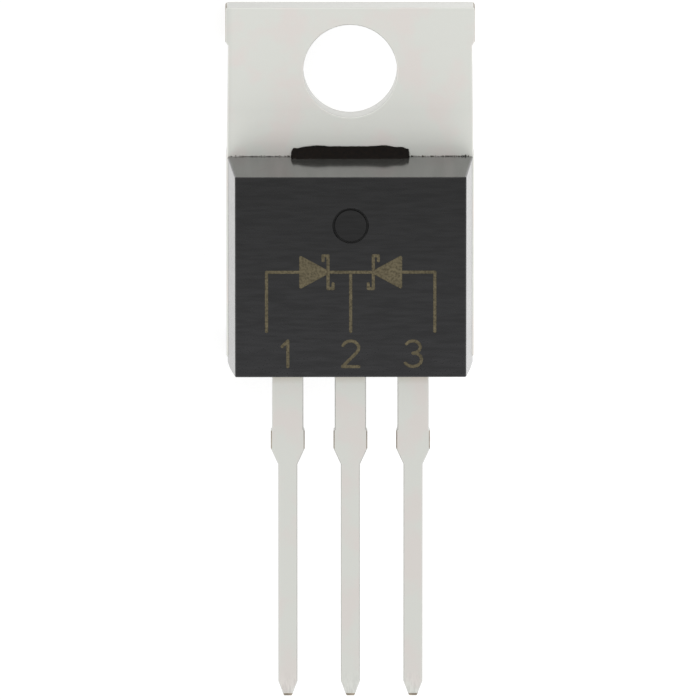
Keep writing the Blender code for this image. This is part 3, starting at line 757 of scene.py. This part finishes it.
class PACKAGE_OT_moulding(bpy.types.Operator):
    """Makes the moulded body with its laser marking and its snapped gate"""

    bl_idname = "package.moulding"
    bl_label = "Moulded body"

    def execute(self, context):
        finish = context.scene.package_finish
        marking = context.scene.package_marking
        burnt = laser_mark(finish)
        body = solid_copy("moulded_body", "moulded_case")
        base = finish.compound_colour
        for material in (
            moulding_compound(
                "epoxy_compound_eroded_matt",
                finish,
                base,
                rough=(0.26, 0.34),
                ior=1.47,
                lead_end=finish.front_painted_light,
            ),
            burnt,
            snapped_compound(finish),
            # Painted light: the sides and top face, in a paler grey than the front's black.
            moulding_compound(
                "epoxy_compound_drawn_satin_painted_light",
                finish,
                finish.drawn_painted_light_colour,
                rough=(0.10, 0.16),
                run=(1.0, 1.0, 18.0),
                width=finish.draw_streak,
                unevenness=0.05,
                sheen=0.09,
            ),
            moulding_compound("epoxy_compound_pin_satin", finish, shade(base, 0.8), (0.18, 0.28), 1.44),
            # Painted shade: the pin mark's groove is the compound at a fifth of its colour, standing in for
            # the shade inside it; its higher roughness is the groove's own.
            moulding_compound("epoxy_compound_pin_rim_painted_shade", finish, shade(base, 0.2), (0.6, 0.7)),
        ):
            body.data.materials.append(material)
        cutter = laser_strokes(marking, burnt)
        cut = body.modifiers.new("marking", "BOOLEAN")
        cut.operation = "DIFFERENCE"
        cut.solver = "EXACT"
        cut.object = cutter
        settle(body)
        bpy.data.objects.remove(cutter)
        for face in body.data.polygons:
            face.material_index = moulding_finish(face, marking.depth)
        tear_break(body, finish)
        smooth(body)
        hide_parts("moulded_body")
        for piece in (body, flash_crumbs(finish)):
            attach(piece, "root")
        return {"FINISHED"}


class PACKAGE_OT_leadframe(bpy.types.Operator):
    """Plates the tab and the leads, with bare copper where they were sheared"""

    bl_idname = "package.leadframe"
    bl_label = "Tab and leads"

    def execute(self, context):
        finish = context.scene.package_finish
        tin = matt_tin("matt_tin_on_thick_strip", finish, finish.tin_colour, finish.seam_painted_light)
        lead_tin = matt_tin("matt_tin_on_thin_strip", finish, shade(finish.tin_colour, 0.92), bleed=0.6)
        copper = sheared_copper(finish)
        tab_edge = sheared_tin("matt_tin_on_sheared_tab_edge", finish, TAB_LOW.z, TAB_FRONT)
        lead_edge = sheared_tin("matt_tin_on_sheared_lead_edge", finish, LEAD_LOW.z, LEAD_HIGH.z)
        names = {
            "heatsink_tab": "plated_tab",
            "anode_lead_left": "plated_lead_left",
            "anode_lead_right": "plated_lead_right",
        }
        for node, name in names.items():
            piece = solid_copy(node, name)
            for material in (tin, copper, tab_edge, lead_edge, lead_tin):
                piece.data.materials.append(material)
            for face in piece.data.polygons:
                face.material_index = leadframe_finish(face)
            smooth(piece)
            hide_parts(node)
            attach(piece, "root")
        return {"FINISHED"}


class PACKAGE_OT_inside(bpy.types.Operator):
    """Finishes the chips, their solder and their wires inside the moulding"""

    bl_idname = "package.inside"
    bl_label = "Chips and wires"

    def execute(self, context):
        finish = context.scene.package_finish
        solder, wire = finish.solder_colour, finish.wire_colour
        finishes = {
            "schottky_die": polished_silicon(finish),
            "die_solder": inner_metal("soft_solder_reflowed", solder, finish.solder_grain, 0.38),
            "bond_wire": inner_metal("aluminium_wire_drawn", wire, finish.wire_grain, 0.30),
        }
        for name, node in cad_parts.items():
            for start, material in finishes.items():
                if name.startswith(start):
                    node.data.materials.clear()
                    node.data.materials.append(material)
        return {"FINISHED"}


def add_softbox(name, place, aim, size, power):
    light = bpy.data.lights.new(name, "AREA")
    light.shape = "SQUARE"
    light.size = size
    light.energy = power
    obj = add_object(name, light)
    obj.location = place
    obj.rotation_euler = (Vector(aim) - Vector(place)).to_track_quat("-Z", "Y").to_euler()


def light_tent(studio):
    """White walls all round and a dimmer top, where the lens looks in."""
    world = bpy.data.worlds.new("light_tent")
    world.use_nodes = True
    background = world.node_tree.nodes["Background"]
    background.inputs["Color"].default_value = (1.0, 1.0, 1.0, 1.0)
    direction = add_node(world, "ShaderNodeTexCoord").outputs["Generated"]
    height = axes(world, direction)["Z"]
    rim, opening = (math.cos(math.radians(degrees)) for degrees in (TENT_RIM, TENT_OPENING))
    glow = ramp(world, height, studio.tent_wall, studio.tent_top, rim, opening)
    world.node_tree.links.new(glow, background.inputs["Strength"])
    return world


class PACKAGE_OT_studio(bpy.types.Operator):
    """Lays the white table, hangs the lights and sets the camera"""

    bl_idname = "package.studio"
    bl_label = "Studio"

    def execute(self, context):
        studio = context.scene.package_studio
        scene = context.scene
        bm = bmesh.new()
        bmesh.ops.create_grid(bm, x_segments=2, y_segments=2, size=studio.floor_size / 2)
        mesh = bpy.data.meshes.new("light_table")
        bm.to_mesh(mesh)
        bm.free()
        mesh.materials.append(white_table(studio))
        table = add_object("light_table", mesh)
        table.location.z = -TABLE_DROP

        scene.world = light_tent(studio)
        add_softbox("softbox_overhead", SOFTBOX_PLACE, (0, 0, 0), SOFTBOX_SIZE, studio.softbox_power)

        camera = bpy.data.cameras.new("camera")
        camera.sensor_width = SENSOR_WIDTH
        camera.lens = camera.sensor_width * studio.camera_distance / studio.field_width
        camera.clip_start = studio.camera_distance / 10
        camera.clip_end = studio.camera_distance * 5
        obj = add_object("camera", camera)
        tilt, turn = studio.view_tilt, studio.view_turn
        aim = Vector((0.0, -studio.field_middle, 0.0))
        upright = math.cos(tilt)
        back = Vector((-math.sin(turn) * upright, math.sin(tilt), math.cos(turn) * upright))
        obj.location = aim + back * studio.camera_distance
        obj.rotation_euler = (-tilt, -turn, 0.0)
        scene.camera = obj
        scene.view_settings.view_transform = "Standard"
        return {"FINISHED"}


class PACKAGE_PT_panel(bpy.types.Panel):
    """Lists the package's sizes, colours and steps"""

    bl_idname = "PACKAGE_PT_panel"
    bl_label = "Tab package"
    bl_space_type = "VIEW_3D"
    bl_region_type = "UI"
    bl_category = "Package"

    def draw(self, context):
        for settings in (
            context.scene.package_finish,
            context.scene.package_marking,
            context.scene.package_studio,
        ):
            box = self.layout.box()
            for name in settings.bl_rna.properties.keys():
                if name not in ("rna_type", "name"):
                    box.prop(settings, name)
        for operator in OPERATORS:
            self.layout.operator(operator.bl_idname)


SETTINGS = {
    "package_finish": PackageFinish,
    "package_marking": PackageMarking,
    "package_studio": PackageStudio,
}
OPERATORS = (PACKAGE_OT_moulding, PACKAGE_OT_leadframe, PACKAGE_OT_inside, PACKAGE_OT_studio)


def register():
    for cls in (*SETTINGS.values(), *OPERATORS, PACKAGE_PT_panel):
        bpy.utils.register_class(cls)
    for name, group in SETTINGS.items():
        setattr(bpy.types.Scene, name, PointerProperty(type=group))


def unregister():
    for name in SETTINGS:
        delattr(bpy.types.Scene, name)
    for cls in (PACKAGE_PT_panel, *OPERATORS, *SETTINGS.values()):
        bpy.utils.unregister_class(cls)


def main():
    register()
    bpy.ops.package.moulding()
    bpy.ops.package.leadframe()
    bpy.ops.package.inside()
    bpy.ops.package.studio()


if __name__ == "__main__":
    main()
